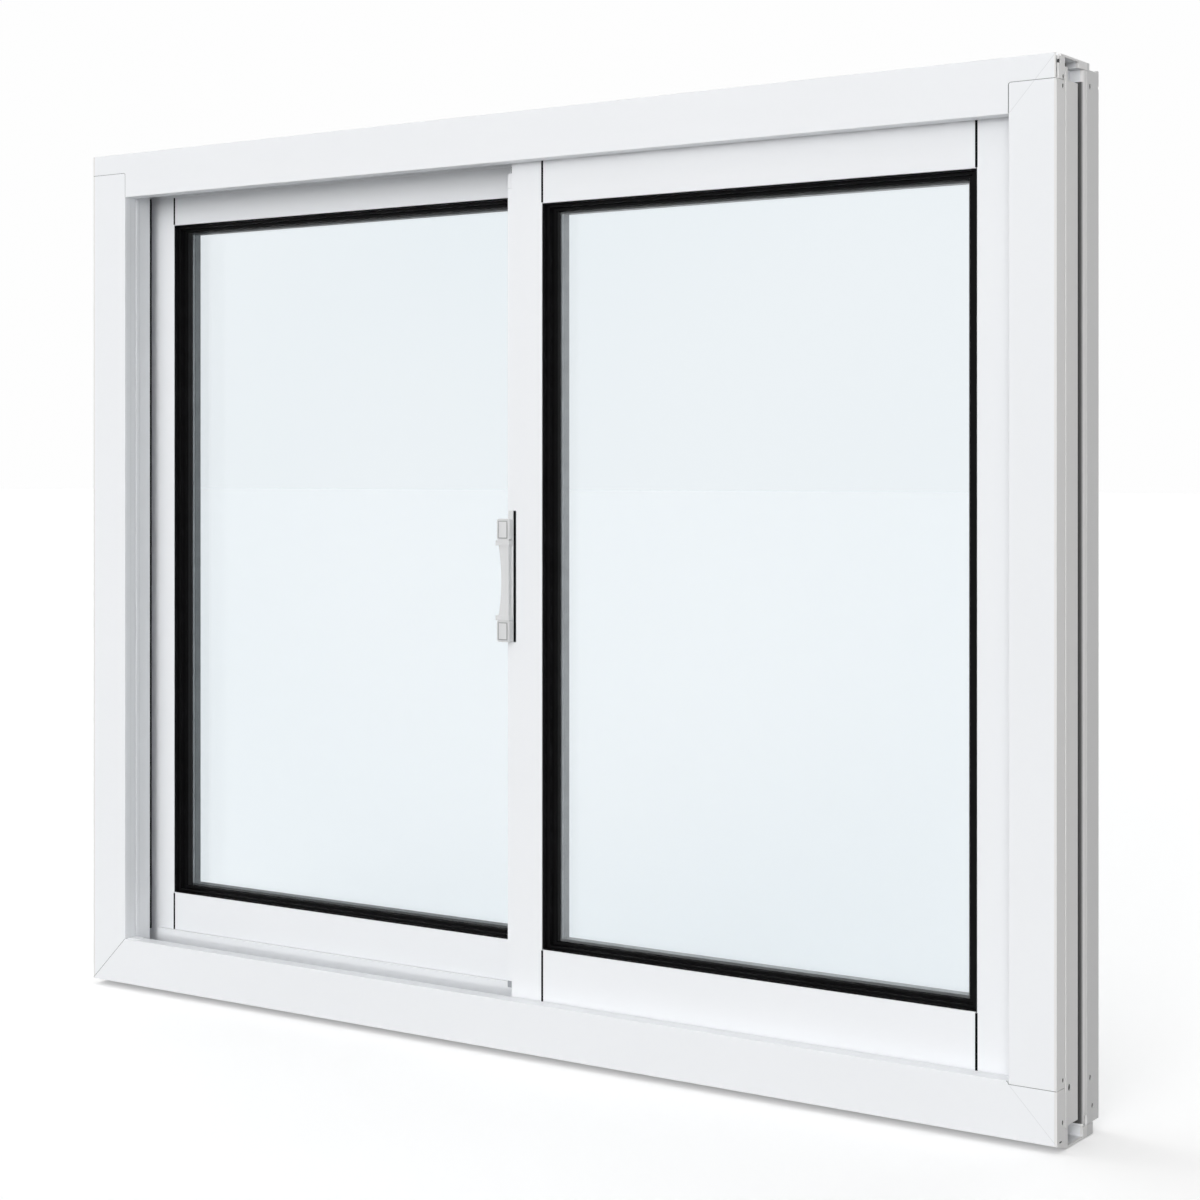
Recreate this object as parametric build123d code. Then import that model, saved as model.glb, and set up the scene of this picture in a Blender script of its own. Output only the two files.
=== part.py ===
from build123d import *
import os

# Two-track horizontal sliding window: hollow track frame, two double-glazed sashes, a pull handle.
# X runs along the window, Y from the face with the handle to the back, Z up from the sill's underside.
# Sections are drawn as distance from the bar's outer side, then depth from the front face.

# Overall size
width = 1200.0
height = 960.0
depth = 93.0

# Walls and fits
wall = 2.0
thin_wall = 1.6
seam = 0.3
rail_gap = 0.9
fit_gap = 0.3
edge_round = 0.8

# Frame bars
head_face = 50.0
sill_face = 57.0
left_jamb_face = 52.0
right_jamb_face = 46.0
leg_depth = 17.0
sill_base = 18.0
sill_low_base = 10.5
head_base = 10.0
head_low_base = 7.0
jamb_base = 22.0
sill_step_y = 79.0
head_step_y = 71.0
head_open_y = 47.0
head_notch = 22.0
corner_round = 2.5
sill_dip = 3.0
dip_round = 1.8
toe_height = 6.0
toe_back = 21.0
sill_box_y = 21.0
sill_box_back = 57.0
box_wall = 2.5
key_front = 1.5
key_back = 8.4
key_depth = 2.2

# Ribs that the sashes run on, and the rib that parts the two tracks
rib_thick = 2.4
rib_rise = 25.0
head_rib_drop = 22.0
parting_y = 52.5
sill_parting = 62.0
head_parting = 47.0
parting_cap = 4.0
parting_cap_height = 8.0
parting_jamb = 34.0

# Outer side of the jambs: front leg, ridge, sunk web over a hidden groove, rounded rib and back wall
leg_drop = 0.4
ridge_front = 19.0
ridge_back = 23.0
web_drop = 2.5
web_top_drop = 20.5
groove_front = 50.8
groove_back = 56.8
groove_depth = 12.5
rib_round = 3.6
score_y = 65.0
score_width = 0.7
score_depth = 0.6
back_wall_y = 71.5
back_drop = 0.4
back_rise = 1.6
back_lip_y = 88.5
back_lip_rise = 3.2
arch_y = 62.0
arch_radius = 3.2
arch_height = 8.0

# Covers that close the unused track in each jamb
cover_depth = 18.3
cover_fin = 4.0

# Drain slots: one near each end of the parting rib and of the back leg
drain_length = 37.0
drain_height = 5.6
drain_inset = 22.0
drain_rise = 9.0
outer_drain_inset = 150.0
outer_drain_rise = 8.0

# Holes in the sides of the frame
fixing_radius = 2.75
fixing_y = 73.7
fixing_low = 51.0
fixing_high_drop = 20.0
leg_hole_y = 14.0
leg_hole_radius = 2.2
leg_hole_low = 61.4
leg_hole_high_drop = 27.5
web_hole_radius = 3.0
web_hole_y = 32.5
web_hole_low = 51.1
back_hole_radius = 2.4
back_hole_y = 79.2
back_hole_low = 24.9
edge_notch_radius = 1.3
edge_notch_drop = 19.1
sill_hole_y = 12.7
sill_hole_rise = 24.7
sill_slot_y = 5.0
sill_slot_length = 6.0
sill_slot_rise = 7.9
sill_slot_height = 1.5
head_hole_y = 5.2
head_hole_drop = 7.0
head_low_hole_y = 14.0
head_low_hole_drop = 19.4
head_face_drop = 1.4
head_end_groove = 3.6
head_end_groove_depth = 4.0

# Sashes
sash_depth = 33.0
front_sash_y = 18.5
rear_sash_y = 56.0
sash_lift = 20.0
sash_clear = 12.0
front_bottom_rail = 71.0
front_top_rail = 71.0
rear_bottom_rail = 74.5
rear_top_rail = 60.0
outer_stile = 50.0
meeting_stile = 38.6
rear_meeting_stile = 33.0
right_lap = 10.7
left_lap = 27.4
meeting_shift = 7.0
meeting_lap = 6.6
groove_run = 12.0
glass_setback = 12.0
glass_bite = 10.0
pane = 4.0
air_gap = 11.0
bottom_channel = 22.0
top_channel = 16.0
slot_half = 5.0
slot_low = 9.0
slot_high = 14.0

# Meeting stile of the front sash: side fin and end clips
fin_width = 5.3
fin_drop = 1.0
fin_low_gap = 34.0
fin_high_gap = 53.0
clip_width = 6.6
top_clip_height = 15.4
bottom_clip_height = 6.8
clip_depth = 16.0
clip_gap = 0.3

# Glazing seals and spacer bars
seal_side = 12.5
seal_level = 8.5
seal_start = 0.6
seal_lip = 4.0
seal_foot = 2.5
lip_share = 0.18
lip_taper = 0.1
step_share = 0.5
step_taper = 0.12
foot_share = 0.9
back_share = 0.6
spacer_show = 2.0
spacer_width = 7.0

# Interlock hooks on the meeting stiles
hook_wall = 1.4
hook_root = 0.5
hook_reach = 3.7
hook_lip = 4.5
hook_lip_thick = 1.2
hook_clear = 3.0

# Rollers
roller_radius = 7.0
roller_width = 7.0
roller_flange = 1.0
roller_rim = 1.5
roller_inset = 70.0
axle_radius = 1.5
axle_gap = 0.05
axle_drop = 5.0
cage_length = 44.0
cage_wall = 1.5
cage_gap = 0.6

# Handle
handle_overhang = 12.5
handle_width = 15.9
handle_low = 420.1
handle_height = 126.2
handle_rise = 8.0
plate_left = 2.0
plate_width = 5.8
plate_thick = 1.8
plate_above = 8.2
gasket_thick = 0.8
gasket_width = 5.2
block_height = 22.2
block_round = 2.5
flange_height = 5.0
flange_over = 1.0
waist = 5.6
waist_edge = 1.0
cap_inset = 2.8
cap_thick = 0.8

# Places that follow from the sizes above
front_rib_y = front_sash_y + sash_depth / 2
rear_rib_y = rear_sash_y + sash_depth / 2
parting_back = parting_y + wall
meeting_edge = width / 2 - meeting_shift
front_bottom = sill_base + sash_lift
front_top = height - head_base - sash_clear
rear_bottom = sill_low_base + sash_lift
rear_top = height - head_low_base - sash_clear
front_left = meeting_edge + meeting_stile
front_right = width - right_jamb_face + right_lap - outer_stile
rear_left = left_jamb_face - left_lap + outer_stile
rear_right = meeting_edge + meeting_lap - rear_meeting_stile

right_way = (1, 0, 0)
left_way = (-1, 0, 0)
up_way = (0, 0, 1)
down_way = (0, 0, -1)


def place(u, t, z):
    """Point at a distance from the left end, from the front face and from the underside."""
    return (u - width / 2, t - depth / 2, z)


def plate(a0, a1, t0, t1):
    """Rectangle of a section between two distances and two depths."""
    return Pos((a0 + a1) / 2, (t0 + t1) / 2) * Rectangle(a1 - a0, t1 - t0)


def soften(section, corners, radius):
    """Round the named corners of a section."""
    picked = [section.vertices().sort_by_distance((a, t, 0))[0] for a, t in corners]
    return fillet(picked, radius)


def lay_bar(section, corner, across, run, length):
    """Extrude a section from a corner; its first direction points across, the bar runs along run."""
    plane = Plane(origin=place(*corner), x_dir=across, z_dir=run)
    return extrude(plane * section, amount=length)


def block(u0, u1, t0, t1, z0, z1):
    """Straight-sided cut or piece between two corners."""
    size = (u1 - u0, t1 - t0, z1 - z0)
    return Pos(*place(u0, t0, z0)) * Box(*size, align=(Align.MIN, Align.MIN, Align.MIN))


def bore_x(u0, u1, t, z, radius):
    """Round cut along the window's length."""
    middle = place((u0 + u1) / 2, t, z)
    return Pos(*middle) * Rot(0, 90, 0) * Cylinder(radius, u1 - u0)


def corner_spur(u, top, radius, at_left):
    """What lies outside a rounded top corner of the front leg."""
    start = u if at_left else u - radius
    middle = place(u + radius if at_left else u - radius, leg_depth / 2, top - radius)
    spur = block(start, start + radius, 0, leg_depth, top - radius, top)
    return spur - Pos(*middle) * Rot(90, 0, 0) * Cylinder(radius, 2 * leg_depth)


def slot_y(u, z, t0, t1):
    """Round-ended drain slot cut through a wall from front to back."""
    plane = Plane(origin=place(u, t0, z), x_dir=right_way, z_dir=(0, 1, 0))
    return extrude(plane * SlotOverall(drain_length, drain_height), amount=t1 - t0)


def track_section(face, floors, rise, parting, step_y):
    """Section shared by sill and head: stepped track floor, two legs, ribs and a back rebate."""
    base, low_base = floors
    half = rib_thick / 2
    skin = plate(0, base, 0, parting_back) + plate(0, low_base, 0, depth)
    skin += plate(0, face, 0, leg_depth)
    skin += plate(0, face, depth - wall, depth)
    skin += plate(0, parting, parting_y, parting_back)
    skin += plate(0, base + rise, front_rib_y - half, front_rib_y + half)
    skin += plate(0, low_base + rise, rear_rib_y - half, rear_rib_y + half)
    return skin - plate(-wall, low_base - wall, step_y, depth + wall)


def sill_blank():
    """Sill bar before its ends are cut: open box under the front track, other hollows closed."""
    floors = (sill_base, sill_low_base)
    skin = track_section(sill_face, floors, rib_rise, sill_parting, sill_step_y)
    cap_front = (parting_y + parting_back - parting_cap) / 2
    cap_low = sill_parting - parting_cap_height
    skin += plate(cap_low, sill_parting, cap_front, cap_front + parting_cap)
    skin -= make_face(Polyline((0, 0), (toe_height, 0), (0, toe_back), close=True))
    skin = soften(skin, [(sill_face, 0), (sill_face, leg_depth)], edge_round)
    skin -= plate(wall, sill_base - wall, sill_box_y + wall, parting_y - wall)
    skin -= plate(wall, sill_low_base - wall, parting_y - wall, sill_box_back)
    bar = lay_bar(skin, (width, 0, 0), up_way, left_way, width)
    hollows = plate(toe_height + wall, sill_face - wall, wall, leg_depth - wall)
    hollows += plate(2 * wall, sill_base - wall, leg_depth, sill_box_y)
    hollows += plate(wall, sill_low_base - wall, sill_box_back + box_wall, sill_step_y - wall)
    return bar - lay_bar(hollows, (width - wall, 0, 0), up_way, left_way, width)


def make_sill():
    """Sill notched behind its front leg for the jambs, mitred at the left end and drained."""
    sill = sill_blank()
    for start, end in ((0, left_jamb_face + seam), (width - right_jamb_face - seam, width)):
        sill -= block(start, end, leg_depth, parting_y, sill_base, height)
        sill -= block(start, end, parting_y, depth, sill_low_base, height)
        sill -= block(start, end, sill_step_y, depth, 0, height)
    for start, end in ((0, jamb_base), (width - jamb_base, width)):
        sill -= block(start, end, sill_box_y + wall, parting_y, sill_low_base, height)
        sill -= block(start, end, sill_box_y + wall, sill_box_back, wall, height)
    for u in (left_jamb_face + drain_inset, width - right_jamb_face - drain_inset):
        sill -= slot_y(u, sill_base + drain_rise, parting_y - wall, parting_back + wall)
    for u in (outer_drain_inset, width - outer_drain_inset):
        sill -= slot_y(u, sill_low_base + outer_drain_rise, depth - 2 * wall, depth)
    sill -= bore_x(width - 2 * wall, width, sill_hole_y, sill_hole_rise, back_hole_radius)
    slot_end, slot_top = sill_slot_y + sill_slot_length, sill_slot_rise + sill_slot_height
    sill -= block(width - wall, width, sill_slot_y, slot_end, sill_slot_rise, slot_top)
    dip = width - right_jamb_face - seam
    sill -= block(dip, width, 0, leg_depth, sill_face - sill_dip, height)
    sill -= corner_spur(dip, sill_face, dip_round, False)
    return sill - mitre_side(True, 0)


def make_head():
    """Head notched at both ends to sit over the jambs, its box left open at the right."""
    floors = (head_base, head_low_base)
    skin = track_section(head_face, floors, head_rib_drop, head_parting, head_step_y)
    skin -= plate(-wall, key_depth, key_front, key_back)
    skin = soften(skin, [(head_face, 0), (head_face, leg_depth)], edge_round)
    skin -= plate(wall, head_base - wall, leg_depth, head_open_y)
    head = lay_bar(skin, (0, 0, height), down_way, right_way, width)
    hollows = plate(key_depth + wall, head_face - wall, wall, leg_depth - wall)
    hollows += plate(wall, head_low_base - wall, head_open_y + wall, head_step_y - wall)
    head -= lay_bar(hollows, (0, 0, height), down_way, right_way, width - wall)
    for start, end in ((0, left_jamb_face + seam), (width - right_jamb_face - seam, width)):
        head -= block(start, end, 0, leg_depth, 0, height - head_notch)
        head -= block(start, end, leg_depth, head_open_y, 0, height - wall)
        head -= block(start, end, head_open_y, depth, 0, height - head_low_base)
        head -= block(start, end, head_step_y, depth, 0, height)
    low = height - head_notch
    head += corner_spur(left_jamb_face + seam, low, corner_round, False)
    head += corner_spur(width - right_jamb_face - seam, low, corner_round, True)
    head -= block(width - head_face_drop, width, 0, wall, low, height)
    head -= block(width - head_end_groove_depth, width, wall, head_end_groove, low, height)
    head -= bore_x(width - 2 * wall, width, head_low_hole_y, height - head_low_hole_drop, leg_hole_radius)
    return head - bore_x(width - 2 * wall, width, head_hole_y, height - head_hole_drop, leg_hole_radius)


def mitre_side(above, gap):
    """Everything in the front leg on one side of the mitre line at the sill's left end."""
    far = left_jamb_face + seam
    rise = (sill_face - toe_height) / left_jamb_face
    limit = height if above else -wall
    corners = [(0, toe_height + gap), (far, toe_height + gap + rise * far), (far, limit), (0, limit)]
    plane = Plane(origin=place(0, leg_depth, 0), x_dir=right_way, z_dir=(0, -1, 0))
    return extrude(plane * make_face(Polyline(*corners, close=True)), amount=leg_depth)


def jamb_section(face):
    """Jamb section: legs, parting rib, and the outer side's ridge, web over a groove, rib and back wall."""
    skin = plate(0, jamb_base, 0, depth) + plate(0, face, 0, leg_depth)
    skin += plate(0, face, depth - wall, depth)
    skin += plate(0, parting_jamb, parting_y, parting_back)
    skin -= plate(-wall, leg_drop, -wall, ridge_front)
    skin -= plate(-wall, web_drop, ridge_back, groove_front)
    skin -= plate(-wall, groove_depth, groove_front, groove_back)
    skin = soften(skin, [(face, 0), (face, leg_depth)], edge_round)
    skin = soften(skin, [(0, groove_back)], rib_round)
    skin -= plate(web_drop + thin_wall, groove_depth, ridge_back + wall, groove_front)
    skin -= plate(-wall, score_depth, score_y, score_y + score_width)
    skin -= plate(-wall, back_drop, back_wall_y, depth + wall)
    inner = jamb_base - wall
    skin -= plate(leg_drop + wall, face - wall, wall, leg_depth - wall)
    skin -= plate(2 * wall, inner, leg_depth, ridge_back)
    skin -= plate(groove_depth + wall, inner, ridge_back, groove_back)
    return skin - plate(score_depth + wall, inner, groove_back + wall, depth - wall)


def jamb_holes(face):
    """Wall fixing holes right through the jamb, and screw holes in its outer skin."""
    high = height - fixing_high_drop
    leg_high = height - leg_hole_high_drop
    skin = back_drop + 2 * wall
    holes = bore_x(0, jamb_base, fixing_y, fixing_low, fixing_radius)
    holes += bore_x(0, jamb_base, fixing_y, high, fixing_radius)
    holes += bore_x(0, skin, leg_hole_y, leg_hole_low, leg_hole_radius)
    holes += bore_x(0, skin, leg_hole_y, leg_high, leg_hole_radius)
    holes += bore_x(0, web_drop + 2 * wall, web_hole_y, web_hole_low, web_hole_radius)
    holes += bore_x(0, skin, depth, height - edge_notch_drop, edge_notch_radius)
    return holes + bore_x(0, skin, back_hole_y, back_hole_low, back_hole_radius)


def make_jamb(face, mitred):
    """Jamb on the left end, standing on the sill's rear floor and reaching up into the head."""
    top = height - head_low_base - seam
    lip_top = top + back_lip_rise
    bar = lay_bar(jamb_section(face), (0, 0, toe_height), right_way, up_way, lip_top - toe_height)
    bar -= block(0, face, 0, head_step_y + seam, top, height)
    bar -= block(0, face, 0, back_lip_y, top + back_rise, height)
    bar -= block(0, face, leg_depth, parting_y, 0, sill_base + seam)
    bar -= block(0, face, parting_y, depth, 0, sill_low_base + seam)
    bar -= block(0, face, leg_depth, parting_y, height - head_base, height)
    bar -= block(0, face, 0, leg_depth, height - head_notch - seam, height)
    bar -= corner_spur(face, height - head_notch - seam, corner_round, False)
    bar -= block(0, groove_depth, ridge_back, groove_front, height - web_top_drop, height)
    arch_top = sill_low_base + arch_height
    arch = block(0, web_drop, arch_y - arch_radius, arch_y + arch_radius, 0, arch_top)
    bar -= arch + bore_x(0, web_drop, arch_y, arch_top, arch_radius)
    foot = sill_face - sill_dip + seam
    bar -= mitre_side(False, seam) if mitred else block(0, face, 0, leg_depth, 0, foot)
    return bar - jamb_holes(face)


def track_cover(face, leg):
    """Snap-in cover of an unused track at the left end, behind a leg, with a sealing fin."""
    start = leg + seam
    end = start + cover_depth
    inner = jamb_base + seam
    skin = plate(inner, face, start, end) + plate(face - thin_wall, face, end, end + cover_fin)
    skin -= plate(inner + thin_wall, face - thin_wall, start + thin_wall, end - thin_wall)
    low = sill_base + 2 * seam
    high = height - head_base - 2 * seam
    return lay_bar(skin, (0, 0, low), right_way, up_way, high - low)


def turned(part):
    """The same piece turned half round about the vertical, for the other end and track."""
    return Rot(0, 0, 180) * part


def sash_section(face, channel):
    """Section of a sash bar: hollow tube, glazing groove inside, track channel outside if it has one."""
    groove = face - groove_run
    lip = glass_setback - fit_gap
    skin = plate(0, face, 0, sash_depth)
    skin -= plate(groove, face, lip, sash_depth - thin_wall)
    skin = soften(skin, [(0, 0), (face, 0), (0, sash_depth)], edge_round)
    skin -= plate(groove, face - wall, wall, lip - wall)
    skin -= plate(channel + wall, groove - wall, wall, sash_depth - wall)
    if channel:
        skin -= plate(-wall, channel, wall, sash_depth - wall)
    return skin


def stile(outer, face, t0, low, high, at_left):
    """Upright sash bar, slotted at both ends to clear the track ribs."""
    start = (outer, t0, low) if at_left else (outer, t0, high)
    across, run = (right_way, up_way) if at_left else (left_way, down_way)
    bar = lay_bar(sash_section(face, 0), start, across, run, high - low)
    u0, u1 = outer - face, outer + face
    middle = t0 + sash_depth / 2
    bar -= block(u0, u1, middle - slot_half, middle + slot_half, low, low + slot_low)
    return bar - block(u0, u1, middle - slot_half, middle + slot_half, high - slot_high, high)


def interlock(outer, t, at_left):
    """Hook between the parting ribs: a wall off the stile with a lip turned to the other sash."""
    low = sill_parting + hook_clear
    high = height - head_parting - hook_clear
    reach = hook_reach + hook_root
    skin = plate(0, hook_wall, 0, reach) + plate(0, hook_lip, reach - hook_lip_thick, reach)
    if at_left:
        return lay_bar(skin, (outer, t - hook_root, low), right_way, up_way, high - low)
    plane = Plane(origin=place(outer, t + hook_root, low), x_dir=left_way, z_dir=up_way)
    return extrude(plane * skin, amount=high - low)


def make_front_meeting_stile():
    """Meeting stile of the front sash, with its side fin and the hook behind it."""
    bar = stile(meeting_edge, meeting_stile, front_sash_y, front_bottom, front_top, True)
    bar += interlock(meeting_edge, front_sash_y + sash_depth, True)
    fin_front = front_sash_y + fin_drop
    low = front_bottom + fin_low_gap
    high = front_top - fin_high_gap
    left = meeting_edge - fin_width
    return bar + block(left, meeting_edge + wall, fin_front, fin_front + wall, low, high)


def make_rear_meeting_stile():
    """Meeting stile of the rear sash, with the hook in front of it."""
    outer = meeting_edge + meeting_lap
    bar = stile(outer, rear_meeting_stile, rear_sash_y, rear_bottom, rear_top, False)
    return bar + interlock(outer, rear_sash_y, False)


def stile_clip(low, high):
    """Small guide clip on the outer side of the front meeting stile, beyond the end of its fin."""
    left = meeting_edge - clip_width
    front = front_sash_y + 2 * fin_drop
    clip = block(left, meeting_edge, front, front + clip_depth, low, high)
    return fillet(clip.edges().filter_by(Axis.Z).sort_by(Axis.X)[:2], edge_round)


def rail(left, right, t0, outer, face, channel, at_bottom):
    """Level sash bar between the stiles, with an open channel that rides over the track rib."""
    section = sash_section(face, channel)
    start, end = left + rail_gap, right - rail_gap
    if at_bottom:
        return lay_bar(section, (end, t0, outer), up_way, left_way, end - start)
    return lay_bar(section, (start, t0, outer), down_way, right_way, end - start)


def frustum(box, t0, t1, near, far):
    """Tapering cut through a glazed opening, from one share of the seal's width to another."""
    left, right, low, high = box
    faces = []
    for t, share in ((t0, near), (t1, far)):
        side, level = seal_side * share, seal_level * share
        size = (right - left - 2 * side, high - low - 2 * level)
        middle = place((left + right) / 2, t, (low + high) / 2)
        faces.append(Plane(origin=middle, x_dir=right_way, z_dir=(0, -1, 0)) * Rectangle(*size))
    return loft(faces)


def glazing_seal(box, t0):
    """Front glazing seal: a stepped ring from the sash's face down to the glass."""
    left, right, low, high = box
    start, end = t0 + seal_start, t0 + glass_setback
    middle, foot = start + seal_lip, end - seal_foot
    ring = block(left + fit_gap, right - fit_gap, start, end, low + fit_gap, high - fit_gap)
    ring -= frustum(box, start, middle, lip_share, lip_share + lip_taper)
    ring -= frustum(box, middle, foot, step_share, step_share + step_taper)
    return ring - frustum(box, foot, end, foot_share, 1)


def back_seal(box, t0):
    """Flat seal on the back pane, inside the back lip of the sash."""
    left, right, low, high = box
    start = t0 + glass_setback + 2 * pane + air_gap
    end = t0 + sash_depth - seal_start
    ring = block(left + fit_gap, right - fit_gap, start, end, low + fit_gap, high - fit_gap)
    return ring - frustum(box, start, end, back_share + lip_taper, back_share)


def spacer_bar(box, t0):
    """Spacer ring between the two panes."""
    left, right, low, high = box
    start = t0 + glass_setback + pane
    side, level = seal_side + spacer_show, seal_level + spacer_show
    inner = block(left + side, right - side, start, start + air_gap, low + level, high - level)
    left, right = left + side - spacer_width, right - side + spacer_width
    low, high = low + level - spacer_width, high - level + spacer_width
    return block(left, right, start, start + air_gap, low, high) - inner


def glass_pane(box, t):
    """One pane, reaching into the glazing groove all round."""
    left, right, low, high = box
    low, high = low - glass_bite, high + glass_bite
    return block(left - glass_bite, right + glass_bite, t, t + pane, low, high)


def roller(u, t0, rib_top):
    """Flanged wheel standing on the track rib."""
    half = roller_width / 2
    bore = axle_radius + axle_gap
    profile = plate(bore, roller_radius, -half, half)
    for start in (-half, half - roller_rim):
        profile += plate(bore, roller_radius + roller_flange, start, start + roller_rim)
    wheel = revolve(Plane.XZ * profile, Axis.Z)
    return Pos(*place(u, t0 + sash_depth / 2, rib_top + roller_radius)) * Rot(90, 0, 0) * wheel


def roller_cage(u, t0, rib_top, roof):
    """Cage under the channel's roof that carries a roller's axle."""
    middle = t0 + sash_depth / 2
    centre = rib_top + roller_radius
    half = roller_width / 2 + cage_gap
    span = half + cage_wall
    left, right = u - cage_length / 2, u + cage_length / 2
    top = roof - fit_gap
    cage = block(left, right, middle - span, middle + span, centre - axle_drop, top)
    cage -= block(left, right, middle - half, middle + half, centre - axle_drop, top - cage_wall / 2)
    return cage + Pos(*place(u, middle, centre)) * Rot(90, 0, 0) * Cylinder(axle_radius, 2 * span)


def handle_gasket():
    """Thin gasket between the handle and the face of the meeting stile."""
    left = meeting_edge + edge_round
    top = handle_low + handle_height + plate_above
    return block(left, left + gasket_width, front_sash_y - gasket_thick, front_sash_y, handle_low, top)


def handle_plate():
    """Mounting plate on the gasket."""
    left = meeting_edge - plate_left
    top = handle_low + handle_height + plate_above
    back = front_sash_y - gasket_thick
    return block(left, left + plate_width, back - plate_thick, back, handle_low, top)


def make_handle_grip():
    """Grip with a hollowed finger side, end blocks, and a flange between each block and the grip."""
    front, back = front_sash_y - handle_rise, front_sash_y - gasket_thick
    left = meeting_edge - handle_overhang
    right = left + handle_width
    low, high = handle_low + block_height, handle_low + handle_height - block_height
    edge = left + waist_edge
    middle = (low + high) / 2
    bow = ThreePointArc((edge, low), (left + waist, middle), (edge, high))
    sides = Polyline((edge, high), (right - waist_edge, high), (right - waist_edge, low), (edge, low))
    plane = Plane(origin=place(0, back, 0), x_dir=right_way, z_dir=(0, -1, 0))
    grip = extrude(plane * make_face([bow, *sides.edges()]), amount=back - front)
    for z in (handle_low, high):
        end = block(left, right, front, back, z, z + block_height)
        grip += fillet(end.edges().filter_by(Axis.Y), block_round)
    for z in (low, high - flange_height):
        grip += block(left - flange_over, right, front - flange_over, back, z, z + flange_height)
    return grip - handle_plate()


def handle_cap(low):
    """Cover pressed over a fixing screw in an end block."""
    front = front_sash_y - handle_rise
    left = meeting_edge - handle_overhang + cap_inset
    right = left + handle_width - 2 * cap_inset
    return block(left, right, front - cap_thick, front, low + cap_inset, low + block_height - cap_inset)


def glazed_sash(name, t0, box, bottom, top, rib_top, rails):
    """All the pieces of one sash but its stiles."""
    left, right, low, high = box
    bottom_face, top_face = rails
    pieces = {
        "bottom_rail": rail(left, right, t0, bottom, bottom_face, bottom_channel, True),
        "top_rail": rail(left, right, t0, top, top_face, top_channel, False),
        "front_pane": glass_pane(box, t0 + glass_setback),
        "back_pane": glass_pane(box, t0 + glass_setback + pane + air_gap),
        "spacer_bar": spacer_bar(box, t0),
        "front_seal": glazing_seal(box, t0),
        "back_seal": back_seal(box, t0),
    }
    for side, u in (("left", left + roller_inset), ("right", right - roller_inset)):
        pieces[side + "_roller"] = roller(u, t0, rib_top)
        pieces[side + "_roller_cage"] = roller_cage(u, t0, rib_top, bottom + bottom_channel)
    return {name + "_" + piece: shape for piece, shape in pieces.items()}


def front_sash():
    """Sash on the right, running in the front track."""
    low, high = front_bottom + front_bottom_rail, front_top - front_top_rail
    rib_top = sill_base + rib_rise
    rails = (front_bottom_rail, front_top_rail)
    box = (front_left, front_right, low, high)
    pieces = glazed_sash("front_sash", front_sash_y, box, front_bottom, front_top, rib_top, rails)
    outer = front_right + outer_stile
    end_stile = stile(outer, outer_stile, front_sash_y, front_bottom, front_top, False)
    pieces["front_sash_outer_stile"] = end_stile
    pieces["front_sash_meeting_stile"] = make_front_meeting_stile()
    top_clip = front_top - fin_high_gap + clip_gap
    bottom_clip = front_bottom + fin_low_gap - clip_gap
    pieces["front_sash_top_clip"] = stile_clip(top_clip, top_clip + top_clip_height)
    pieces["front_sash_bottom_clip"] = stile_clip(bottom_clip - bottom_clip_height, bottom_clip)
    return pieces


def rear_sash():
    """Sash on the left, running in the rear track."""
    low, high = rear_bottom + rear_bottom_rail, rear_top - rear_top_rail
    rib_top = sill_low_base + rib_rise
    rails = (rear_bottom_rail, rear_top_rail)
    box = (rear_left, rear_right, low, high)
    pieces = glazed_sash("rear_sash", rear_sash_y, box, rear_bottom, rear_top, rib_top, rails)
    outer = rear_left - outer_stile
    pieces["rear_sash_outer_stile"] = stile(outer, outer_stile, rear_sash_y, rear_bottom, rear_top, True)
    pieces["rear_sash_meeting_stile"] = make_rear_meeting_stile()
    return pieces


def frame_and_handle():
    """Frame bars, track covers and the pull handle."""
    return {
        "frame_head": make_head(),
        "frame_sill": make_sill(),
        "frame_left_jamb": make_jamb(left_jamb_face, True),
        "frame_right_jamb": mirror(make_jamb(right_jamb_face, False), Plane.YZ),
        "left_track_cover": track_cover(left_jamb_face, leg_depth),
        "right_track_cover": turned(track_cover(right_jamb_face, wall)),
        "handle_gasket": handle_gasket(),
        "handle_plate": handle_plate(),
        "handle_grip": make_handle_grip(),
        "handle_top_cap": handle_cap(handle_low + handle_height - block_height),
        "handle_bottom_cap": handle_cap(handle_low),
    }


def main():
    os.makedirs("parts", exist_ok=True)
    parts = {**frame_and_handle(), **front_sash(), **rear_sash()}
    for name, shape in parts.items():
        shape.label = name
        export_step(shape, "parts/" + name + ".step")


main()
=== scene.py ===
import math

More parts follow.
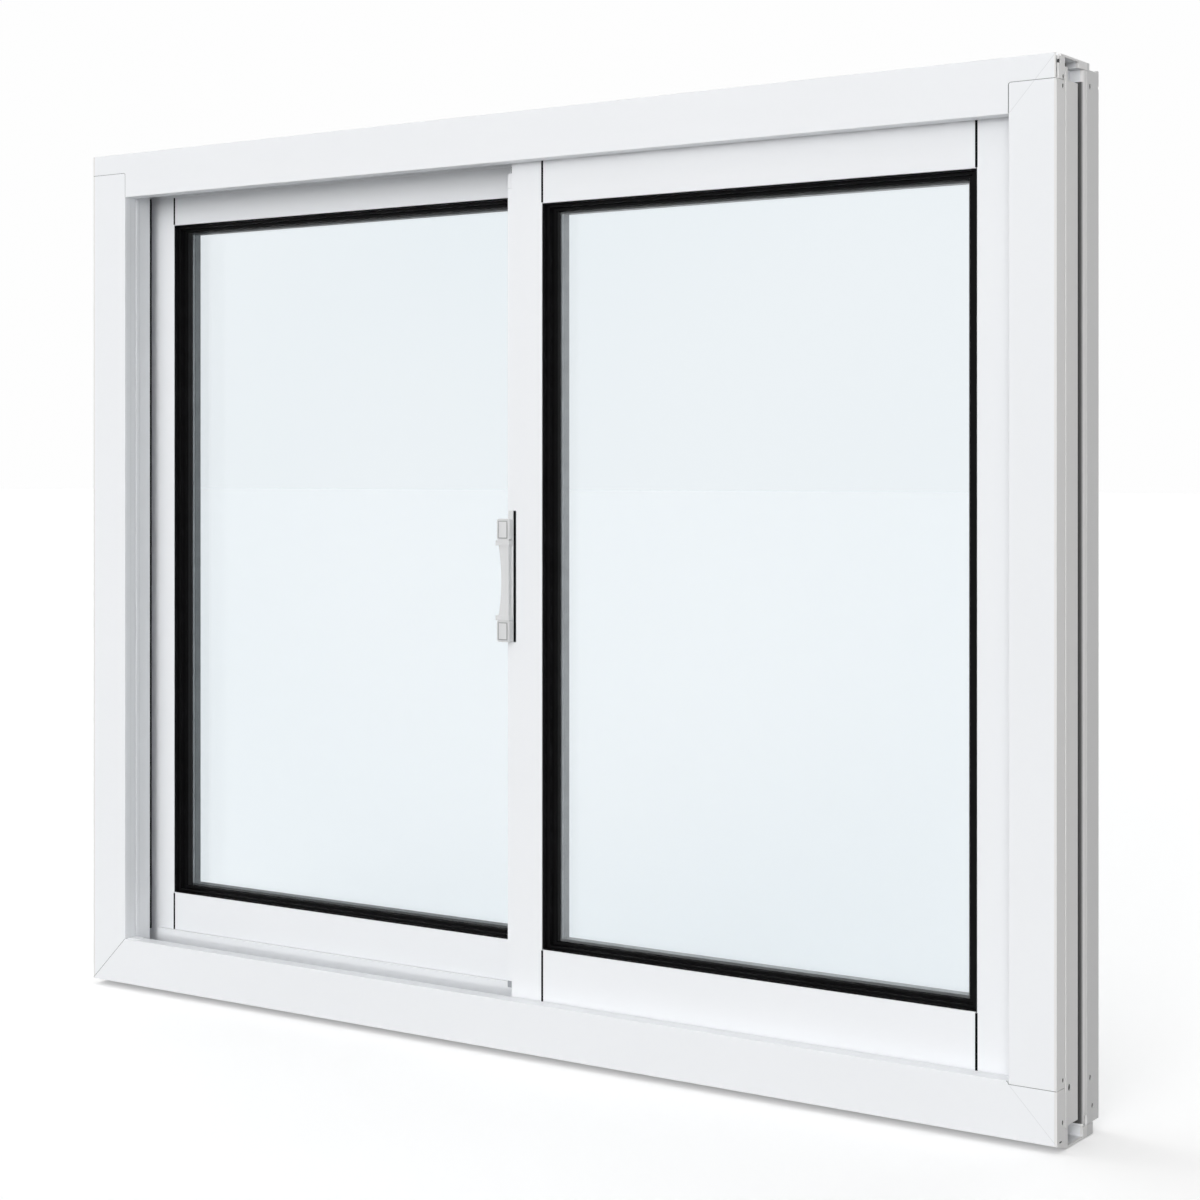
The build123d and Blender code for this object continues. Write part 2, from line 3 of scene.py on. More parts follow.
import bmesh
import bpy
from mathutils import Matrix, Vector


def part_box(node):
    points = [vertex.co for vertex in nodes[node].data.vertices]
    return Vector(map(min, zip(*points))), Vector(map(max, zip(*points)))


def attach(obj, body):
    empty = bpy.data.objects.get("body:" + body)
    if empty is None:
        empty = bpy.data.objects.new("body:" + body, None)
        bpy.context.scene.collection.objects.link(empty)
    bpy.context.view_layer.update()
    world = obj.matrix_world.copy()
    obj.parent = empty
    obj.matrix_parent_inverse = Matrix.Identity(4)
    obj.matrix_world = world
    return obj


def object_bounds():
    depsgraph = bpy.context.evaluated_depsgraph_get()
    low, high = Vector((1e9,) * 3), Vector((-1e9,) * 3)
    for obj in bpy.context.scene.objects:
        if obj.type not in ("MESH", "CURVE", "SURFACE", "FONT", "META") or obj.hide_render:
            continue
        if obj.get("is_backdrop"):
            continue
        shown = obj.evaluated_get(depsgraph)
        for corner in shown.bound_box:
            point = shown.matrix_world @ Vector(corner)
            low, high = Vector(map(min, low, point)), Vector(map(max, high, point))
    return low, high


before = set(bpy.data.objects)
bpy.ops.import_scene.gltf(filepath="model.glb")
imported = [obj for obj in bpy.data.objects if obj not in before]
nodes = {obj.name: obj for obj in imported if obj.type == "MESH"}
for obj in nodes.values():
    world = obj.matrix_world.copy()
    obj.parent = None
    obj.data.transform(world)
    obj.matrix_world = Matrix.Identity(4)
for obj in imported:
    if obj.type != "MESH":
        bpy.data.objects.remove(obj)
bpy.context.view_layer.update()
scene = bpy.context.scene
scene.view_settings.view_transform = "Standard"

# The part's own frame: X along the window, Y from its front to its back, Z up, in metres.
WIDTH, DEPTH = 1.2, 0.093
WIDTH_MM = 1200
FRONT, RIGHT, UP = (0, -1, 0), (1, 0, 0), (0, 0, 1)


def at(u, t, z):
    """Point in metres from millimetres off the left end, the front face and the underside."""
    return Vector((u / 1000 - WIDTH / 2, t / 1000 - DEPTH / 2, z / 1000))


# ---------------------------------------------------------------- node helpers
def fresh(name):
    """Empty material with a Principled shader and its output."""
    mat = bpy.data.materials.new(name)
    mat.use_nodes = True
    tree = mat.node_tree
    tree.nodes.clear()
    out = tree.nodes.new("ShaderNodeOutputMaterial")
    bsdf = tree.nodes.new("ShaderNodeBsdfPrincipled")
    tree.links.new(bsdf.outputs["BSDF"], out.inputs["Surface"])
    return mat, tree, bsdf, out


def mapped(tree, scale):
    """Place on the object, times a scale for each axis."""
    coords = tree.nodes.new("ShaderNodeTexCoord")
    mapping = tree.nodes.new("ShaderNodeMapping")
    mapping.inputs["Scale"].default_value = scale
    tree.links.new(coords.outputs["Object"], mapping.inputs["Vector"])
    return mapping.outputs["Vector"]


def object_axes(tree):
    """Place on the object along X, Y and Z."""
    coords = tree.nodes.new("ShaderNodeTexCoord")
    parts = tree.nodes.new("ShaderNodeSeparateXYZ")
    tree.links.new(coords.outputs["Object"], parts.inputs["Vector"])
    return parts.outputs


def noise(tree, vector, scale, detail=3.0, rough=0.6):
    node = tree.nodes.new("ShaderNodeTexNoise")
    node.inputs["Scale"].default_value = scale
    node.inputs["Detail"].default_value = detail
    node.inputs["Roughness"].default_value = rough
    tree.links.new(vector, node.inputs["Vector"])
    return node.outputs["Fac"]


def ramp(tree, fac, low, high, start=0.3, end=0.7):
    """Colour from low to high as the value goes from start to end."""
    node = tree.nodes.new("ShaderNodeValToRGB")
    node.color_ramp.elements[0].position = start
    node.color_ramp.elements[1].position = end
    node.color_ramp.elements[0].color = (*low, 1.0)
    node.color_ramp.elements[1].color = (*high, 1.0)
    tree.links.new(fac, node.inputs["Fac"])
    return node.outputs["Color"]


def spread(tree, value, low, high, start=0.3, end=0.7):
    """Number from low to high as the value goes from start to end."""
    node = tree.nodes.new("ShaderNodeMapRange")
    node.inputs["From Min"].default_value = start
    node.inputs["From Max"].default_value = end
    node.inputs["To Min"].default_value = low
    node.inputs["To Max"].default_value = high
    tree.links.new(value, node.inputs["Value"])
    return node.outputs["Result"]


def bump(tree, height, distance, strength=1.0, under=None):
    node = tree.nodes.new("ShaderNodeBump")
    node.inputs["Distance"].default_value = distance
    node.inputs["Strength"].default_value = strength
    tree.links.new(height, node.inputs["Height"])
    if under is not None:
        tree.links.new(under, node.inputs["Normal"])
    return node.outputs["Normal"]


def maths(tree, operation, value, *terms):
    """One arithmetic step on a value; the other terms are numbers or outputs."""
    step = tree.nodes.new("ShaderNodeMath")
    step.operation = operation
    tree.links.new(value, step.inputs[0])
    for place, term in enumerate(terms, 1):
        if isinstance(term, (int, float)):
            step.inputs[place].default_value = term
        else:
            tree.links.new(term, step.inputs[place])
    return step.outputs[0]


def mixed_shader(tree, factor, first, second, out):
    """Show the first shader where the factor is 0 and the second where it is 1."""
    mix = tree.nodes.new("ShaderNodeMixShader")
    tree.links.new(factor, mix.inputs["Fac"])
    tree.links.new(first, mix.inputs[1])
    tree.links.new(second, mix.inputs[2])
    tree.links.new(mix.outputs["Shader"], out.inputs["Surface"])


# ---------------------------------------------------------------- materials
# White of the profiles
WHITE_LOW, WHITE_HIGH = (0.845, 0.86, 0.88), (0.865, 0.878, 0.898)
# Outermost faces of the frame, and the part of them behind the rib: places in metres, and darker colours painted on
# them as shade
OUTER_X, BEHIND_Y = 0.5972, 0.0192
OUTER_SHADE_COLOUR, BEHIND_SHADE_COLOUR = (0.79, 0.785, 0.78), (0.64, 0.64, 0.64)
# Painted shade in the groove beside the rib: places off the window's middle in metres, colours at its foot and at its
# top
FOOT_X, TOP_X = 0.598, 0.6001
FOOT_COLOUR, TOP_COLOUR = (0.075, 0.075, 0.075), (0.80, 0.80, 0.80)


def extruded_plastic(name, along):
    """Satin white profile: faint die lines along the bar, a fine skin grain and a slow change of tone."""
    mat, tree, bsdf, _ = fresh(name)
    plain = mapped(tree, (1, 1, 1))
    stretch = [60, 60, 60]
    stretch[along] = 0.6
    lines = noise(tree, mapped(tree, stretch), 14.0, 2.0)
    grain = noise(tree, plain, 900.0, 2.0)
    tone = noise(tree, plain, 2.6, 2.0, 0.5)
    tree.links.new(ramp(tree, tone, WHITE_LOW, WHITE_HIGH), bsdf.inputs["Base Color"])
    tree.links.new(spread(tree, lines, 0.34, 0.42), bsdf.inputs["Roughness"])
    skin = bump(tree, grain, 0.00002)
    tree.links.new(bump(tree, lines, 0.00003, 0.6, skin), bsdf.inputs["Normal"])
    bsdf.inputs["Specular IOR Level"].default_value = 0.45
    bsdf.inputs["IOR"].default_value = 1.5
    return mat


def frame_plastic(name, along):
    """Frame bar whose outermost faces at its ends are darkened by painted shade, darkest on the back wall behind the
    rib.
    """
    mat = extruded_plastic(name, along)
    tree = mat.node_tree
    bsdf = next(node for node in tree.nodes if node.type == "BSDF_PRINCIPLED")
    colour = bsdf.inputs["Base Color"].links[0].from_socket
    place = object_axes(tree)
    outer = maths(tree, "GREATER_THAN", maths(tree, "ABSOLUTE", place["X"]), OUTER_X)
    behind = maths(tree, "MULTIPLY", outer, maths(tree, "GREATER_THAN", place["Y"], BEHIND_Y))
    for share, shade_colour in ((outer, OUTER_SHADE_COLOUR), (behind, BEHIND_SHADE_COLOUR)):
        mix = tree.nodes.new("ShaderNodeMix")
        mix.data_type = "RGBA"
        mix.inputs["B"].default_value = (*shade_colour, 1.0)
        tree.links.new(share, mix.inputs["Factor"])
        tree.links.new(colour, mix.inputs["A"])
        colour = mix.outputs["Result"]
    tree.links.new(colour, bsdf.inputs["Base Color"])
    return mat


def moulded_plastic(name, low, high, roughness=(0.3, 0.4)):
    """Moulded plastic: fine even grain and a slight change of tone."""
    mat, tree, bsdf, _ = fresh(name)
    plain = mapped(tree, (1, 1, 1))
    grain = noise(tree, plain, 1400.0)
    tone = noise(tree, plain, 20.0, 2.0, 0.5)
    tree.links.new(ramp(tree, tone, low, high), bsdf.inputs["Base Color"])
    tree.links.new(spread(tree, grain, *roughness), bsdf.inputs["Roughness"])
    tree.links.new(bump(tree, grain, 0.00003), bsdf.inputs["Normal"])
    return mat


def rubber(name, low=(0.0016, 0.0016, 0.0018), high=(0.0034, 0.0034, 0.0038)):
    """Black seal: matt with a soft sheen along its lips and faint extrusion waves."""
    mat, tree, bsdf, _ = fresh(name)
    plain = mapped(tree, (1, 1, 1))
    grain = noise(tree, plain, 700.0)
    waves = noise(tree, plain, 45.0, 2.0, 0.5)
    tree.links.new(ramp(tree, waves, low, high), bsdf.inputs["Base Color"])
    tree.links.new(spread(tree, grain, 0.36, 0.5), bsdf.inputs["Roughness"])
    fine = bump(tree, grain, 0.00002)
    tree.links.new(bump(tree, waves, 0.0002, 0.4, fine), bsdf.inputs["Normal"])
    bsdf.inputs["Specular IOR Level"].default_value = 0.08
    return mat


def brushed_metal(name, low, high, metallic, roughness):
    """Drawn metal: fine lines up and down, and a slight change of tone."""
    mat, tree, bsdf, _ = fresh(name)
    lines = noise(tree, mapped(tree, (900, 900, 30)), 1.0)
    tone = noise(tree, mapped(tree, (1, 1, 1)), 60.0, 2.0, 0.5)
    tree.links.new(ramp(tree, tone, low, high), bsdf.inputs["Base Color"])
    tree.links.new(spread(tree, lines, *roughness), bsdf.inputs["Roughness"])
    tree.links.new(bump(tree, lines, 0.00002), bsdf.inputs["Normal"])
    bsdf.inputs["Metallic"].default_value = metallic
    return mat


def clear_glass(name, tint_low, tint_high):
    """Float glass: pale tint with a barely visible change across the pane, and no dark shadow behind it."""
    mat, tree, bsdf, out = fresh(name)
    plain = mapped(tree, (1, 1, 1))
    tone = noise(tree, plain, 1.6, 1.0, 0.5)
    ripple = noise(tree, plain, 3.0, 1.0, 0.5)
    tree.links.new(ramp(tree, tone, tint_low, tint_high), bsdf.inputs["Base Color"])
    tree.links.new(bump(tree, ripple, 0.0002, 0.3), bsdf.inputs["Normal"])
    bsdf.inputs["Roughness"].default_value = 0.0
    bsdf.inputs["IOR"].default_value = 1.5
    bsdf.inputs["Transmission Weight"].default_value = 1.0
    light = tree.nodes.new("ShaderNodeLightPath")
    through = tree.nodes.new("ShaderNodeBsdfTransparent")
    through.inputs["Color"].default_value = (0.93, 0.95, 0.96, 1.0)
    mixed_shader(tree, light.outputs["Is Shadow Ray"], bsdf.outputs["BSDF"], through.outputs["BSDF"], out)
    return mat


def groove_shade(name):
    """Painted shade in the groove beside the jamb's rib, dark at its foot and lightening towards the rib's top."""
    mat, tree, bsdf, _ = fresh(name)
    reach = spread(tree, maths(tree, "ABSOLUTE", object_axes(tree)["X"]), 0.0, 1.0, FOOT_X, TOP_X)
    grain = noise(tree, mapped(tree, (1, 1, 1)), 600.0)
    tree.links.new(ramp(tree, reach, FOOT_COLOUR, TOP_COLOUR, 0.0, 1.0), bsdf.inputs["Base Color"])
    tree.links.new(spread(tree, grain, 0.45, 0.6), bsdf.inputs["Roughness"])
    tree.links.new(bump(tree, grain, 0.00002), bsdf.inputs["Normal"])
    return mat


# For the part's solids
level_white = extruded_plastic("white_profile_level", 0)
upright_white = extruded_plastic("white_profile_upright", 2)
bar_white = frame_plastic("white_profile_bar", 0)
jamb_white = frame_plastic("white_profile_jamb", 2)
handle_white = moulded_plastic("handle_white", (0.675, 0.68, 0.685), (0.705, 0.71, 0.715))
clip_white = moulded_plastic("clip_white", (0.80, 0.81, 0.83), (0.84, 0.85, 0.87))
# Grey of the bottom clip: painted shade on a clip like the white top one
clip_painted_shade = moulded_plastic("clip_painted_shade", (0.30, 0.31, 0.33), (0.36, 0.37, 0.39))
nylon = moulded_plastic("roller_nylon", (0.012, 0.012, 0.013), (0.02, 0.02, 0.021), (0.4, 0.55))
zinc = brushed_metal("zinc_plate", (0.52, 0.54, 0.56), (0.6, 0.61, 0.63), 1.0, (0.35, 0.5))
front_spacer = brushed_metal("front_spacer_metal", (0.27, 0.275, 0.28), (0.32, 0.325, 0.33), 0.5, (0.4, 0.55))
rear_spacer = brushed_metal("rear_spacer_metal", (0.09, 0.098, 0.104), (0.115, 0.124, 0.13), 0.0, (0.55, 0.7))
glass = clear_glass("window_glass", (0.905, 0.937, 0.955), (0.925, 0.95, 0.965))
black_rubber = rubber("black_seal")
# For the scene's own pieces
rim = brushed_metal("spacer_rim", (0.46, 0.47, 0.48), (0.56, 0.57, 0.58), 0.3, (0.4, 0.55))
lip_rubber = rubber("lip_rubber", (0.009, 0.0095, 0.010), (0.013, 0.0135, 0.014))
seam_dark = rubber("seam_dark")
hairline = moulded_plastic("hairline_grey", (0.70, 0.715, 0.73), (0.75, 0.765, 0.78))
edge_grey = moulded_plastic("edge_grey", (0.50, 0.51, 0.52), (0.56, 0.57, 0.58))
# Grey for the lines round the handle's screw caps: painted shade in the recess round each cap
cap_shade_line = moulded_plastic("cap_shade_line", (0.30, 0.305, 0.31), (0.36, 0.365, 0.37))
joint_grey = moulded_plastic("joint_grey", (0.16, 0.165, 0.17), (0.24, 0.245, 0.25))
# Dark greys for plates set in the arch under the rib, the bores, the open hollows and the grooves: painted shade in
# those recesses
shade_sheet = moulded_plastic("cavity_shade_sheet", (0.12, 0.12, 0.122), (0.2, 0.2, 0.203))
cavity = moulded_plastic("cavity_shade", (0.035, 0.035, 0.036), (0.05, 0.05, 0.052))
groove_shade_paint = groove_shade("cavity_groove")

# ---------------------------------------------------------------- the part's own solids
# The first word that is in a node's name gives its finish, and the first in ROUNDED its edge radius in metres
FINISHES = (("pane", glass), ("seal", black_rubber), ("gasket", black_rubber), ("front_sash_spacer", front_spacer),
            ("spacer", rear_spacer), ("cage", zinc), ("roller", nylon), ("top_clip", clip_white),
            ("bottom_clip", clip_painted_shade), ("handle", handle_white), ("jamb", jamb_white), ("frame_", bar_white),
            ("rail", level_white), ("", upright_white))
ROUNDED = (("frame_", 0.0003), ("_rail", 0.0006), ("_stile", 0.0006), ("handle_grip", 0.0008),
           ("handle_plate", 0.0004), ("_cap", 0.0004), ("_clip", 0.0005), ("track_cover", 0.0005), ("", 0))


def first_for(table, name):
    """Value beside the first word of the table that is in the name."""
    return next(value for word, value in table if word in name)


def round_edges(obj, width):
    """Small rounding along the crisp edges of a carried-over solid, with even shading."""
    weld = obj.modifiers.new("weld", "WELD")
    weld.merge_threshold = 0.000001
    flat = obj.modifiers.new("flat", "DECIMATE")
    flat.decimate_type = "DISSOLVE"
    flat.angle_limit = math.radians(0.5)
    bevel = obj.modifiers.new("edges", "BEVEL")
    bevel.width = width
    bevel.segments = 2
    bevel.limit_method = "ANGLE"
    bevel.angle_limit = math.radians(35)
    bevel.use_clamp_overlap = True
    bevel.harden_normals = False
    normals = obj.modifiers.new("normals", "WEIGHTED_NORMAL")
    normals.keep_sharp = False


for name, obj in nodes.items():
    obj.data.materials.clear()
    obj.data.materials.append(first_for(FINISHES, name))
    width = first_for(ROUNDED, name)
    if width:
        round_edges(obj, width)

# ---------------------------------------------------------------- fine pieces, sizes in millimetres
# Section of a thin bar: share of its width at the top, share of its lift at the shoulders
TOP_SHARE, SHOULDER_SHARE = 0.6, 0.4


def lofted(name, rings, mat):
    """New piece through rings of points, closed at both ends. It rides on the window."""
    mesh = bpy.data.meshes.new(name)
    shape = bmesh.new()
    loops = [[shape.verts.new(point) for point in ring] for ring in rings]
    for first, second in zip(loops, loops[1:]):
        for k in range(len(first)):
            n = (k + 1) % len(first)
            shape.faces.new((first[k], first[n], second[n], second[k]))
    shape.faces.new(list(reversed(loops[0])))
    shape.faces.new(loops[-1])
    bmesh.ops.recalc_face_normals(shape, faces=shape.faces)
    shape.to_mesh(mesh)
    shape.free()
    mesh.materials.append(mat)
    obj = bpy.data.objects.new(name, mesh)
    scene.collection.objects.link(obj)
    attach(obj, "root")


def thin_bar(name, start, end, out, width, lift, mat, sunk=0.1):
    """Low bar of sloping sides laid on a surface from start to end; out points off the surface."""
    start, end, out = at(*start), at(*end), Vector(out)
    side = (end - start).normalized().cross(out).normalized()
    half, rise, low = width / 2000, lift / 1000, sunk / 1000
    top, shoulder = half * TOP_SHARE, rise * SHOULDER_SHARE
    section = ((-half, -low), (half, -low), (half, shoulder), (top, rise), (-top, rise), (-half, shoulder))
    lofted(name, [[point + side * a + out * b for a, b in section] for point in (start, end)], mat)


def profile_bar(name, outline, low, high, mat):
    """Upright bar of one section; the outline is places along and into the window."""
    lofted(name, [[at(u, t, z) for u, t in outline] for z in (low, high)], mat)


def side_plate(name, u, outline, dish, mat):
    """Thin plate facing along the window, its middle sunk by dish; the outline is depth and height pairs."""
    middle_t = sum(t for t, z in outline) / len(outline)
    middle_z = sum(z for t, z in outline) / len(outline)
    back = 1 if u < WIDTH_MM / 2 else -1
    rings = []
    for share, deep in ((1.0, 0.4), (1.0, 0.0), (0.8, dish)):
        rings.append([at(u + back * deep, middle_t + (t - middle_t) * share, middle_z + (z - middle_z) * share)
                      for t, z in outline])
    lofted(name, rings, mat)


# Dark strips in the gaps between stiles and rails, painted shade: depth of the sash's face, places of the gaps, low
# and high end of each rail
SEAMS = (("front", 18.5, (632.05, 1114.25), ((38, 109), (867, 938))),
         ("rear", 56.0, (75.05, 566.15), ((30.5, 105), (881, 941))))
for sash, face, places, rails in SEAMS:
    for i, u in enumerate(places):
        for k, (low, high) in enumerate(rails):
            thin_bar(f"{sash}_seam_{i}{k}", (u, face, low + 1), (u, face, high - 1), FRONT, 2.5, 0.10, seam_dark, 0.8)

# Inner side of the left jamb: bead beside the cover, shallow step, and the pile seal against the rear sash
thin_bar("jamb_inner_bead", (52, 20.0, 57.5), (52, 20.0, 909.5), RIGHT, 5.2, 0.5, upright_white, 0.2)
thin_bar("jamb_inner_step", (52, 5.6, 57.5), (52, 5.6, 909.5), RIGHT, 8.0, 0.25, upright_white, 0.2)
thin_bar("pile_seal", (50.6, 41.6, 62.5), (50.6, 41.6, 912), RIGHT, 3.6, 0.8, seam_dark, 2.0)

# Grey line at the edge of the parting cap beside the rear sash: painted shade in the narrow gap there
thin_bar("parting_edge", (54, 55.0, 62), (601, 55.0, 62), UP, 1.0, 0.1, edge_grey)


def arc(u, z, radius, start, end, steps=4):
    """Points along and up the front face on an arc; angles in degrees."""
    turns = [math.radians(start + (end - start) * k / steps) for k in range(steps + 1)]
    return [(u + radius * math.cos(a), z + radius * math.sin(a)) for a in turns]


# Joints of the frame on its front face: lines from point to point, places along and up
JOINTS = (("joint_top_left", [(0.6, 937.85), *arc(49.65, 935.35, 2.5, 90, 0), (52.15, 910.6)]),
          ("joint_top_right", [(1198.6, 937.85), *arc(1156.35, 935.35, 2.5, 90, 180), (1153.85, 910.6)]),
          ("joint_bottom_left", [(0.6, 6.9), (51.6, 56.9)]),
          ("joint_bottom_right", [(1151.9, 56.95), (1153.4, 55.9), (1154.1, 54.15), (1199.2, 54.15)]))
for name, points in JOINTS:
    for k, ((u0, z0), (u1, z1)) in enumerate(zip(points, points[1:])):
        thin_bar(f"{name}_{k}", (u0, 0, z0), (u1, 0, z1), FRONT, 0.55, 0.04, joint_grey)

# Faint mitre lines at the right corners of the front face
thin_bar("sill_hairline", (1199.3, 0, 7), (1155, 0, 53), FRONT, 0.5, 0.03, hairline)
thin_bar("head_hairline", (1198.3, 0, 959.3), (1155, 0, 911), FRONT, 0.5, 0.03, hairline)


def sill_pad():
    """Flat pad with a round end on the sill's front leg, at the foot of the left jamb."""
    start, end, middle_u, middle_t, half, round_end = 52.4, 64.0, 61.0, 9.5, 6.5, 6.0
    outline = [(start, middle_t - half), (end, middle_t - half)]
    for k in range(9):
        turn = math.radians(-90 + 22.5 * k)
        outline.append((end + round_end * math.cos(turn), middle_t + half * math.sin(turn)))
    outline.append((start, middle_t + half))
    rings = []
    for z, inset in ((56.9, 0.0), (57.7, 0.0), (58.1, 0.5)):
        rings.append([at(u + (inset if u < middle_u else -inset), t + (inset if t < middle_t else -inset), z)
                      for u, t in outline])
    lofted("sill_pad", rings, clip_white)


sill_pad()


def ring_outline(t, z, radius, count=20):
    turns = [2 * math.pi * k / count for k in range(count)]
    return [(t + radius * math.cos(a), z + radius * math.sin(a)) for a in turns]


# Dark plates inside the bores, painted shade. In both jambs: drop of the face that the bore is in, depth, height,
# radius
JAMB_BORES = (("fixing_low", 0.4, 73.7, 51.0, 2.75), ("fixing_high", 0.4, 73.7, 940.0, 2.75),
              ("leg_low", 0.4, 14.0, 61.4, 2.2), ("leg_high", 0.4, 14.0, 932.5, 2.2),
              ("web_low", 2.5, 32.5, 51.1, 3.0), ("back_low", 0.4, 79.2, 24.9, 2.4))
# In the right ends of the sill and head: depth, height, radius
END_BORES = (("sill", 12.7, 24.7, 2.4), ("head", 14.0, 940.6, 2.2), ("head_front", 5.2, 953.0, 2.2))
BORE_SUNK, BORE_PLAY, BORE_DISH = 0.9, 0.02, 0.8
for word, drop, t, z, radius in JAMB_BORES:
    for side, u in (("left", drop + BORE_SUNK), ("right", WIDTH_MM - drop - BORE_SUNK)):
        side_plate(f"{side}_bore_{word}", u, ring_outline(t, z, radius - BORE_PLAY), BORE_DISH, cavity)
for word, t, z, radius in END_BORES:
    side_plate(f"end_bore_{word}", WIDTH_MM - BORE_SUNK, ring_outline(t, z, radius - BORE_PLAY), BORE_DISH, cavity)

# Dark plates inside the hollows that are open at the right end, and inside the arch under the rib: painted shade
side_plate("end_slot_sill", 1199.3, [(5, 7.9), (11, 7.9), (11, 9.4), (5, 9.4)], 0.4, cavity)
side_plate("head_box_end", 1188.0, [(17.2, 950.2), (46.8, 950.2), (46.8, 957.9), (17.2, 957.9)], 2.0, cavity)
side_plate("sill_box_end", 1178.6, [(23.2, 2.1), (56.8, 2.1), (56.8, 16.6), (23.2, 16.6)], 3.0, cavity)
side_plate("arch_inside", 1197.7, [(58.9, 10.6), (65.1, 10.6), (65.1, 18.4), (64.2, 20.6), (62, 21.5), (59.8, 20.6),
                                   (58.9, 18.4)], 0.3, shade_sheet)


def groove_section():
    """Painted shade sheet in the right jamb's groove: its far wall, then round the foot of the rib."""
    bend_u, bend_t, skin, base = 1196.4, 60.4, 3.72, 3.3
    turns = [math.radians(10 * k) for k in range(7)]
    outline = [(1187.7, 56.9), (1187.7, 56.7), (1196.3, 56.68)]
    outline += [(bend_u + skin * math.sin(a), bend_t - skin * math.cos(a)) for a in turns[1:]]
    outline += [(bend_u + base * math.sin(a), bend_t - base * math.cos(a)) for a in reversed(turns)]
    return outline


profile_bar("right_groove_shade_sheet", groove_section(), 13, 942, groove_shade_paint)
profile_bar("left_groove_shade_sheet", [(WIDTH_MM - u, t) for u, t in groove_section()], 13, 942, groove_shade_paint)

# Left side of the glass: inner lip of the seal, and the spacer's bright rim and folded side.
# Places of the seal, of the lip's and the spacer's edges, depth of the pane, metal, low and high end
SPACERS = (("front", 641.5, 646.6, 648.3, 30.5, front_spacer, 112, 864),
           ("rear", 83.5, 92.8, 93.3, 68.0, rear_spacer, 108, 878))
for sash, seal, lip, edge, pane, metal, low, high in SPACERS:
    near, far = pane + 4.2, pane + 14.8
    lip_outline = [(seal, pane - 0.02), (seal, pane - 1.2), (lip - 0.6, pane - 0.7), (lip, pane - 0.3),
                   (lip, pane - 0.02)]
    side_outline = [(seal + 1.5, near), (edge - 0.5, near), (edge, near + 0.5), (edge, far - 0.5),
                    (edge - 0.5, far), (seal + 1.5, far)]
    profile_bar(f"{sash}_seal_lip", lip_outline, low, high, lip_rubber)
    profile_bar(f"{sash}_spacer_side", side_outline, low, high, metal)
    thin_bar(f"{sash}_spacer_rim", (edge - 2.3, near, low + 1), (edge - 2.3, near, high - 1), FRONT, 4.4, 0.12, rim)

# Line round the screw caps in the handle's end blocks, painted shade of the recess round each cap: depth of the
# blocks' face, gap to the cap
BLOCK_FACE, CAP_GAP = 9.5, 0.3
for word in ("top", "bottom"):
    near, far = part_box(f"handle_{word}_cap")
    left, right = near[0] * 1000 + WIDTH_MM / 2 - CAP_GAP, far[0] * 1000 + WIDTH_MM / 2 + CAP_GAP
    low, high = near[2] * 1000 - CAP_GAP, far[2] * 1000 + CAP_GAP
    corners = [(left, BLOCK_FACE, low), (right, BLOCK_FACE, low), (right, BLOCK_FACE, high), (left, BLOCK_FACE, high)]
    for k in range(4):
        thin_bar(f"handle_{word}_cap_shade_line_{k}", corners[k], corners[(k + 1) % 4], FRONT, 0.8, 0.05, cap_shade_line)

# ---------------------------------------------------------------- studio
# Broad lights of the dome: degrees to the right of the front, degrees up, narrowness, strength
LOBES = ((0, 3, 40, 0.6), (20, 3, 40, 8.4), (40, 3, 40, 0.8), (10, 35, 40, 1.9), (0, 80, 8, 0.9),
         (-95, 35, 20, 1.9), (180, 3, 40, 6.0), (180, 20, 6, 0.3))
# Floor: tone for the light that it sends up, tone where it is seen, glow where it is seen
FLOOR_BOUNCE, FLOOR_SEEN, FLOOR_GLOW = 0.5, 0.92, 0.245
FLOOR_HALF, FLOOR_DROP = 60.0, 0.0006
BACKGROUND = (0.99, 0.99, 0.99, 1.0)


def seen_directly(tree):
    """1 for camera, glossy and transmission rays, 0 for the rays that light the object."""
    light = tree.nodes.new("ShaderNodeLightPath")
    total = light.outputs["Is Camera Ray"]
    for kind in ("Is Glossy Ray", "Is Transmission Ray"):
        total = maths(tree, "ADD", total, light.outputs[kind])
        total.node.use_clamp = True
    return total


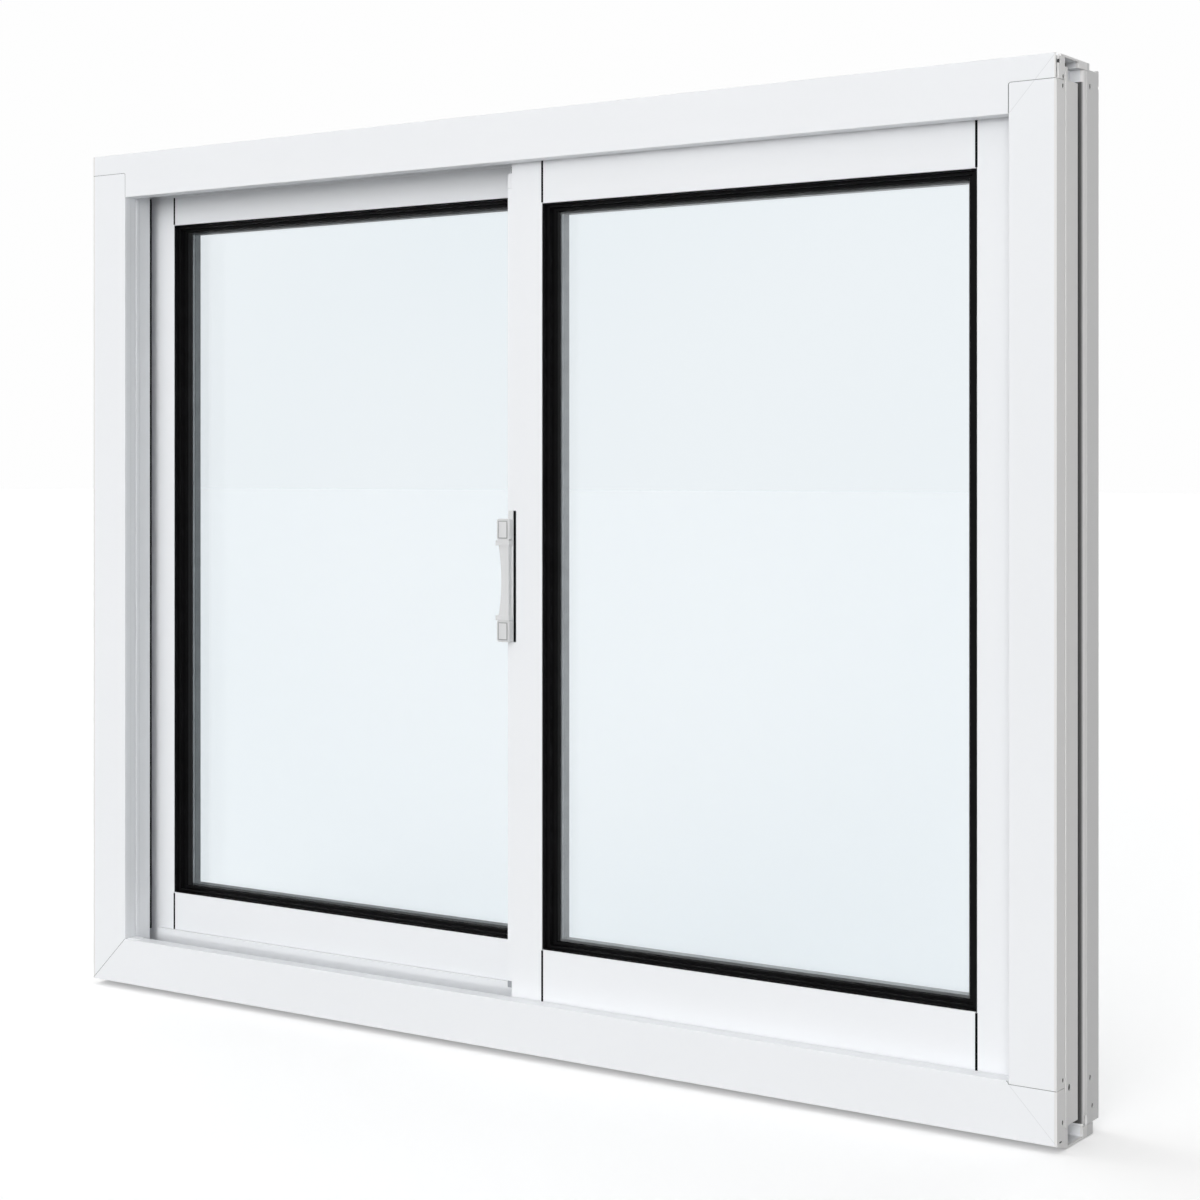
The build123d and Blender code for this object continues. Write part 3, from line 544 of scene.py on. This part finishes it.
def make_floor():
    """Pale floor: white with the object's shadow where it is seen, and mid grey for the light that it sends up."""
    mesh = bpy.data.meshes.new("floor")
    half = FLOOR_HALF
    mesh.from_pydata([(-half, -half, 0), (half, -half, 0), (half, half, 0), (-half, half, 0)], [], [(0, 1, 2, 3)])
    floor = bpy.data.objects.new("floor", mesh)
    floor.location.z = -FLOOR_DROP
    scene.collection.objects.link(floor)
    mat = bpy.data.materials.new("floor_white")
    mat.use_nodes = True
    tree = mat.node_tree
    tree.nodes.clear()
    out = tree.nodes.new("ShaderNodeOutputMaterial")
    seen = seen_directly(tree)
    colour = tree.nodes.new("ShaderNodeMix")
    colour.data_type = "RGBA"
    colour.inputs["A"].default_value = (*[FLOOR_BOUNCE] * 3, 1.0)
    colour.inputs["B"].default_value = (*[FLOOR_SEEN] * 3, 1.0)
    tree.links.new(seen, colour.inputs["Factor"])
    diffuse = tree.nodes.new("ShaderNodeBsdfDiffuse")
    tree.links.new(colour.outputs["Result"], diffuse.inputs["Color"])
    glow = tree.nodes.new("ShaderNodeEmission")
    glow.inputs["Color"].default_value = (1.0, 1.0, 1.0, 1.0)
    tree.links.new(maths(tree, "MULTIPLY", seen, FLOOR_GLOW), glow.inputs["Strength"])
    both = tree.nodes.new("ShaderNodeAddShader")
    tree.links.new(diffuse.outputs["BSDF"], both.inputs[0])
    tree.links.new(glow.outputs["Emission"], both.inputs[1])
    tree.links.new(both.outputs["Shader"], out.inputs["Surface"])
    mesh.materials.append(mat)
    floor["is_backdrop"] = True


def soft_lobe(tree, direction, lobe):
    """Brightness of the dome around one direction, falling off smoothly."""
    azimuth, elevation, focus, strength = lobe
    a, e = math.radians(azimuth), math.radians(elevation)
    dot = tree.nodes.new("ShaderNodeVectorMath")
    dot.operation = "DOT_PRODUCT"
    dot.inputs[1].default_value = (math.sin(a) * math.cos(e), -math.cos(a) * math.cos(e), math.sin(e))
    tree.links.new(direction, dot.inputs[0])
    half = maths(tree, "MULTIPLY_ADD", dot.outputs["Value"], 0.5, 0.5)
    return maths(tree, "MULTIPLY", maths(tree, "POWER", half, focus), strength)


def background(tree, colour):
    node = tree.nodes.new("ShaderNodeBackground")
    node.inputs["Color"].default_value = colour
    return node


def make_world():
    """Soft dome of a few broad lights; seen directly it is plain white."""
    world = bpy.data.worlds.new("studio")
    scene.world = world
    world.use_nodes = True
    tree = world.node_tree
    tree.nodes.clear()
    out = tree.nodes.new("ShaderNodeOutputWorld")
    direction = tree.nodes.new("ShaderNodeTexCoord").outputs["Generated"]
    level = soft_lobe(tree, direction, LOBES[0])
    for lobe in LOBES[1:]:
        level = maths(tree, "ADD", level, soft_lobe(tree, direction, lobe))
    dome, white = background(tree, (1.0, 1.0, 1.0, 1.0)), background(tree, BACKGROUND)
    tree.links.new(level, dome.inputs["Strength"])
    mixed_shader(tree, seen_directly(tree), dome.outputs["Background"], white.outputs["Background"], out)


make_floor()
make_world()

# Camera fitted to the photograph: 70 mm lens, level, 34.6 degrees to the right of the front
camera_data = bpy.data.cameras.new("camera")
camera = bpy.data.objects.new("camera", camera_data)
camera_data.lens = 70.0
camera_data.sensor_width = 36.0
camera_data.shift_y = -0.10686
camera.location = (1.4274, -1.9444, 0.5944)
camera.rotation_euler = (math.radians(90), 0, math.radians(34.639))
scene.collection.objects.link(camera)
scene.camera = camera

low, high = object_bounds()
